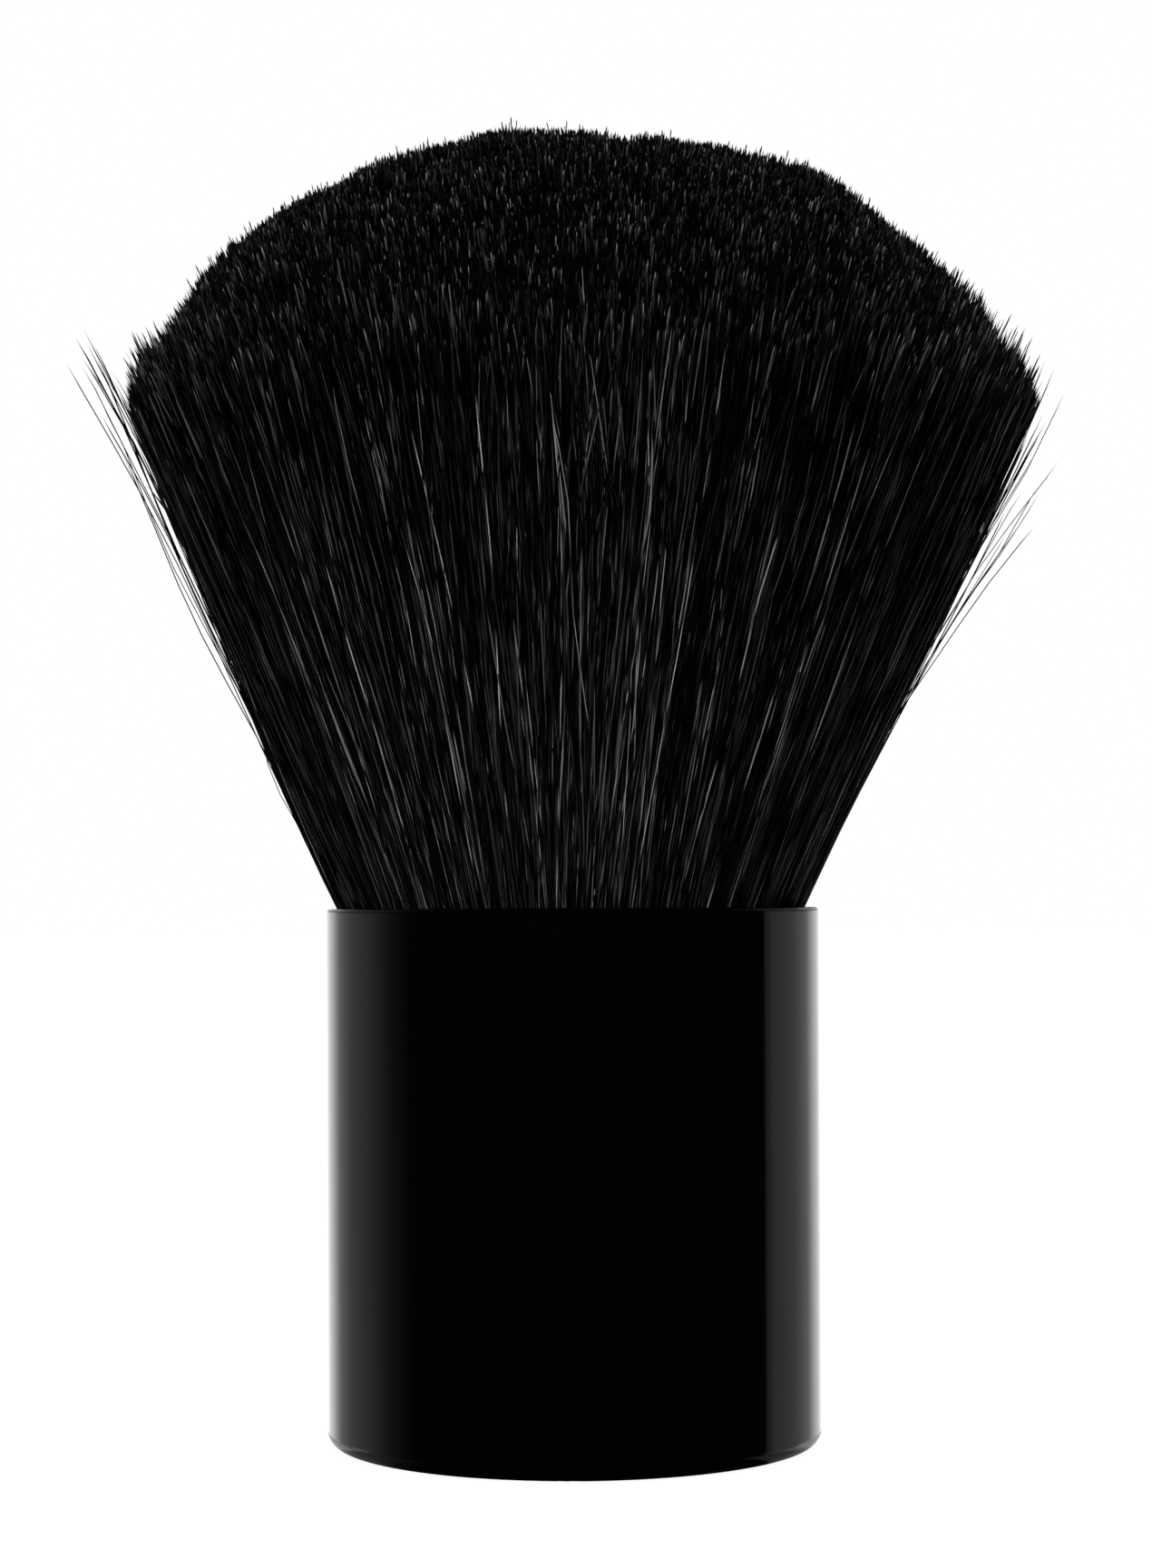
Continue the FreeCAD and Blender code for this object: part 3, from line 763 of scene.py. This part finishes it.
n = LOCK_HAIRS
turn = math.pi + rng.normal(0, 0.05, n)
end = LOCK_REACH + rng.uniform(-4 * MM, 5.5 * MM, n)
grow(
    loose_hair, on_fan(np.full(n, OUTERMOST), turn, ROOT_DISTANCE),
    on_fan(rng.uniform(0.96, 1.02, n), turn + rng.normal(0, 0.06, n), end),
    rng.uniform(0.07, 0.11, n) * MM,
    [(outwards(turn, rng.uniform(-1.1 * MM, 0.15 * MM, n)), bowed),
     (sideways(turn, rng.normal(0, 0.8 * MM, n)), bowed),
     (outwards(turn, rng.normal(0, 0.28 * MM, n)), waved(rng.uniform(1.0, 2.4, n)))],
    settled=False,
)

n = BRIDGE_HAIRS
turn = math.pi + rng.normal(0, 0.12, n)
end = LOCK_REACH - np.minimum(rng.gamma(2.0, 4 * MM, n), 16 * MM)
grow(
    loose_hair, on_fan(np.full(n, OUTERMOST), turn, ROOT_DISTANCE),
    on_fan(np.full(n, 0.975), turn + rng.normal(0, 0.06, n), end),
    rng.uniform(0.06, 0.1, n) * MM,
    [(outwards(turn, rng.uniform(0, 0.4 * MM, n)), bowed_low),
     (outwards(turn, rng.normal(0.1 * MM, 0.2 * MM, n)), bowed),
     (outwards(turn, rng.normal(0, 0.1 * MM, n)), waved(rng.uniform(1.2, 2.8, n)))],
)

# %% [markdown]
# The loose hairs on the right are finer and shorter. They leave the side half way up and curl away
# from it, each by its own amount.

# %% Loosen a lock on the right
FINE_HAIRS = 10

n = FINE_HAIRS
turn = rng.normal(0, 0.06, n)
end = rng.uniform(57 * MM, 69 * MM, n)
grow(
    loose_hair, on_fan(np.full(n, 0.98), turn, ROOT_DISTANCE),
    on_fan(np.full(n, OUTERMOST), turn + rng.normal(0, 0.05, n), end),
    rng.uniform(0.05, 0.075, n) * MM,
    [(sideways(turn, rng.normal(0, 0.4 * MM, n)), bowed),
     (outwards(turn, rng.normal(0, 0.17 * MM, n)), waved(rng.uniform(2.0, 4.0, n))),
     (outwards(turn, rng.uniform(0.9 * MM, 3.0 * MM, n)), lifted(rng.uniform(0.32, 0.55, n)))],
)

# %% [markdown]
# The crown is all tips. Only their last millimetre shows between their neighbours, so short pieces of
# hair are enough, set close over the whole dome. Small patches stand a little higher or lean
# together, and towards the edge the tips end at more and more uneven heights.

# %% Grow the crown
CROWN_TIPS = 130000
CROWN_SHARE = 0.955
PATCH = 1.5 * MM
PATCHES = 64
EDGE_START = 0.55
EDGE_DEPTH = 3.2 * MM
TIP_LENGTH = 2.5 * MM
EDGE_LENGTH = 5 * MM
PROUD_PART = 0.03

n = CROWN_TIPS
share = CROWN_SHARE * np.sqrt(rng.random(n))
turn = rng.uniform(0, FULL_TURN, n)
flat = HAIR_RADIUS * share * np.stack([np.cos(turn), np.sin(turn)])
column, row = np.floor((flat + rng.normal(0, 0.3 * MM, (2, n))) / PATCH).astype(int) % PATCHES
patch = column * PATCHES + row
patch_rise = rng.normal(0, 0.13 * MM, PATCHES ** 2)[patch]
patch_lean = rng.normal(0, 0.2 * MM, (PATCHES ** 2, 3))[patch]
edge = np.clip((share - EDGE_START) / (CROWN_SHARE - EDGE_START), 0, 1) ** 1.4
proud = np.where(rng.random(n) < PROUD_PART, rng.uniform(0, 0.6 * MM, n), 0)
end = reach(share) - np.abs(rng.normal(0, 0.45 * MM, n)) + patch_rise + proud
end = end - edge * EDGE_DEPTH * rng.random(n) ** 1.8
tip = on_fan(share, turn, end) + patch_lean + rng.normal(0, 0.15 * MM, (n, 3)) * (1, 1, 0)
root = on_fan(share, turn, end - TIP_LENGTH - EDGE_LENGTH * edge)
# Painted shade: the tips of the crown pick darker shades than the hairs of the side, to darken the crown.
grow(crown_tip, root, tip, rng.uniform(0.065, 0.105, n) * MM, dark=1.2)

# %% [markdown]
# Behind the hairs that show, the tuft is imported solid. A closed dark form takes the place of the tens
# of thousands of hairs there, from the tied roots to just under the tips. It is pulled up ring by
# ring from a disc, like the hair, and each ring is drawn in or out to the shape of the tuft.

# %% Pack the middle of the tuft
BED_SHARE = 0.88
BED_DEPTH = 0.8 * MM
BED_EDGE_DEPTH = 1.0 * MM
BED_FALL = 0.6
BED_SHARES = (BED_SHARE, 0.99 * BED_SHARE, 0.8, 0.67, 0.5, 0.34, 0.17, 0.03)

rings = [(OUTERMOST * tuft_radius(height), height)
         for height in np.linspace(HAIR_BOTTOM + 0.1 * MM, RIM_HEIGHT - 1.1 * ROOT_DEPTH, 9)]
for share in BED_SHARES:
    distance = reach(share) - np.interp(share, (BED_FALL, BED_SHARE), (BED_DEPTH, BED_EDGE_DEPTH))
    if share == BED_SHARE:
        distance = ROOT_DISTANCE + 0.7 * ROOT_DEPTH
    lean = math.atan(share * FAN_SLOPE)
    rings.append((distance * math.sin(lean), fan_point[2] + distance * math.cos(lean)))

bpy.ops.object.select_all(action="DESELECT")
bpy.ops.mesh.primitive_circle_add(
    vertices=64, radius=rings[0][0], fill_type="NGON", location=(0, 0, rings[0][1])
)
bed = bpy.context.object
bed.name = "hair_bed"
bpy.ops.object.transform_apply(location=True)
bpy.ops.object.mode_set(mode="EDIT")
for (radius, height), (next_radius, next_height) in zip(rings, rings[1:]):
    bpy.ops.mesh.extrude_region_move(TRANSFORM_OT_translate={"value": (0, 0, next_height - height)})
    bpy.ops.transform.resize(
        value=(next_radius / radius, next_radius / radius, 1), center_override=(0, 0, next_height)
    )
bpy.ops.mesh.merge(type="CENTER")
bpy.ops.mesh.select_all(action="SELECT")
bpy.ops.mesh.normals_make_consistent(inside=False)
bpy.ops.object.mode_set(mode="OBJECT")
bpy.ops.object.shade_smooth()
moved = settle(np.array([corner.co for corner in bed.data.vertices]))
bed.data.vertices.foreach_set("co", moved.ravel())
print("the bed has", len(bed.data.polygons), "faces in", len(rings), "rings")

# %% [markdown]
# Goat hair for brushes is dyed black in the vat. The dye takes a little unevenly, so the dark hairs
# differ in tone, but the grey and pale hairs at the top of the ramp are painted highlights, glints of
# light drawn into the colour. The map's column picks the shade, and a noise along the column darkens
# stretches of about 5 mm, so that a painted glint lights only parts of a hair. The scales of hair
# scatter light, so it has a soft, weak gloss.

# %% Dye the hair and paint its glints
STRETCH = 5 * MM
COLUMN_STEP = 7.3
# The pale end of these steps is painted highlight: grey hairs that stand in for glints of light.
DYE_AND_GLINT_STEPS = [(0.0, "#020202"), (0.3, "#090909"), (0.5, "#181818"), (0.75, "#343434"),
             (0.9, "#585858"), (0.97, "#7c7c7c"), (1.0, "#b0b0b0")]

hair_dye_and_glints, tree, shader = new_finish("goat_hair_with_painted_glints")
hair_map = add_node(tree, "ShaderNodeUVMap", uv_map="hair_uv").outputs[0]
parts = add_node(tree, "ShaderNodeSeparateXYZ", {0: hair_map})
dye = fill_ramp(
    add_node(tree, "ShaderNodeValToRGB", {"Fac": parts.outputs["X"]}),
    [(place, linear(colour)) for place, colour in DYE_AND_GLINT_STEPS],
)
column = add_node(tree, "ShaderNodeMath", {0: parts.outputs["X"]}, {1: SHADES}, operation="MULTIPLY")
column = add_node(tree, "ShaderNodeMath", {0: column.outputs[0]}, operation="FLOOR")
apart = add_node(tree, "ShaderNodeMath", {0: column.outputs[0]}, {1: COLUMN_STEP}, operation="MULTIPLY")
along = add_node(
    tree, "ShaderNodeMath", {0: parts.outputs["Y"]}, {1: MAP_LENGTH / STRETCH}, operation="MULTIPLY"
)
spot = add_node(tree, "ShaderNodeCombineXYZ", {0: apart.outputs[0], 1: along.outputs[0]})
uneven = add_node(
    tree, "ShaderNodeTexNoise", {"Vector": spot.outputs[0]}, {"Scale": 1.0, "Detail": 2.0},
    noise_dimensions="2D",
)
# Painted highlight: where the noise is high a hair shows its pale shade as a glint, elsewhere it stays
# near black.
painted_glint_mask = add_node(
    tree, "ShaderNodeMapRange", {"Value": uneven.outputs[0]}, {"From Min": 0.4, "From Max": 0.62},
    interpolation_type="SMOOTHSTEP",
)
colour = add_node(
    tree, "ShaderNodeMix", {"Factor": painted_glint_mask.outputs[0], 7: dye.outputs[0]}, {6: linear("#030303")},
    data_type="RGBA",
)
tree.links.new(colour.outputs[2], shader.inputs["Base Color"])
shader.inputs["IOR"].default_value = 1.55
shader.inputs["Specular IOR Level"].default_value = 0.1
shader.inputs["Roughness"].default_value = 0.4
print(hair_dye_and_glints.name, "has", len(tree.nodes), "nodes")

# %% [markdown]
# The imported hair is the same hair in shadow, and its colours are painted shade, darker than the dye.
# Its grain follows the fan: a place on it is scaled to a fixed distance from the fan point, so that the
# noise only changes from hair to hair and runs straight along each one.

# %% Finish the imported hair
STRAND_SIZE = 0.2 * MM

packed, tree, shader = new_finish("packed_goat_hair")
place = add_node(tree, "ShaderNodeTexCoord").outputs["Object"]
from_point = add_node(
    tree, "ShaderNodeVectorMath", {0: place}, {1: list(fan_point)}, operation="SUBTRACT"
)
above = add_node(tree, "ShaderNodeSeparateXYZ", {0: from_point.outputs[0]})
scale = add_node(
    tree, "ShaderNodeMath", {1: above.outputs["Z"]}, {0: float(reach(0))}, operation="DIVIDE"
)
ray = add_node(
    tree, "ShaderNodeVectorMath", {0: from_point.outputs[0], "Scale": scale.outputs[0]},
    operation="SCALE",
)
strands = add_node(
    tree, "ShaderNodeTexNoise", {"Vector": ray.outputs[0]}, {"Scale": 1 / STRAND_SIZE, "Detail": 2.0}
)
# Painted shade: these tones are darker than the dye, for the shadow deep inside the tuft.
tone = fill_ramp(
    add_node(tree, "ShaderNodeValToRGB", {"Fac": strands.outputs[0]}),
    [(0.4, linear("#010101")), (0.65, linear("#040404")), (0.8, linear("#0c0c0c"))],
)
ridges = add_node(
    tree, "ShaderNodeBump", {"Height": strands.outputs[0]}, {"Strength": 0.6, "Distance": 0.1 * MM}
)
tree.links.new(tone.outputs[0], shader.inputs["Base Color"])
tree.links.new(ridges.outputs[0], shader.inputs["Normal"])
shader.inputs["Roughness"].default_value = 0.7
shader.inputs["Specular IOR Level"].default_value = 0.05
bed.data.materials.append(packed)

# %% [markdown]
# A mesh with all the hairs would be too heavy for other programs, so the hairs are shared out between
# ten locks, like slices of a cake. Each lock has the hair's map twice: once for the dye and its painted
# glints, and once more under the name OFBake.

# %% Gather the hairs in locks
LOCKS = 10


def fit_tuft(piece):
    """Tell the frame that a piece belongs to the tuft."""
    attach(piece, "root")
    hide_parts("hair_tuft")


def make_lock(number):
    """One slice of the tuft as a mesh."""
    points, faces, maps, offset = [], [], [], 0
    for form, turn, hair_points, hair_maps in batches:
        mine = np.floor(turn / FULL_TURN * LOCKS).astype(int) % LOCKS == number
        corners = len(form["corners"])
        first = offset + np.arange(mine.sum())[:, None, None] * corners
        points.append(hair_points[mine].reshape(-1, 3))
        faces.append((form["faces"] + first).reshape(-1, 3))
        maps.append(hair_maps[mine].reshape(-1, 2))
        offset += mine.sum() * corners
    mesh = bpy.data.meshes.new(f"hair_lock_{number + 1}")
    mesh.from_pydata(np.concatenate(points), [], np.concatenate(faces))
    for name in ("hair_uv", "OFBake"):
        mesh.uv_layers.new(name=name).data.foreach_set("uv", np.concatenate(maps).ravel())
    mesh.shade_smooth()
    mesh.materials.append(hair_dye_and_glints)
    lock = bpy.data.objects.new(mesh.name, mesh)
    scene.collection.objects.link(lock)
    fit_tuft(lock)
    print(lock.name, "has", len(mesh.polygons), "faces")


fit_tuft(bed)
for number in range(LOCKS):
    make_lock(number)
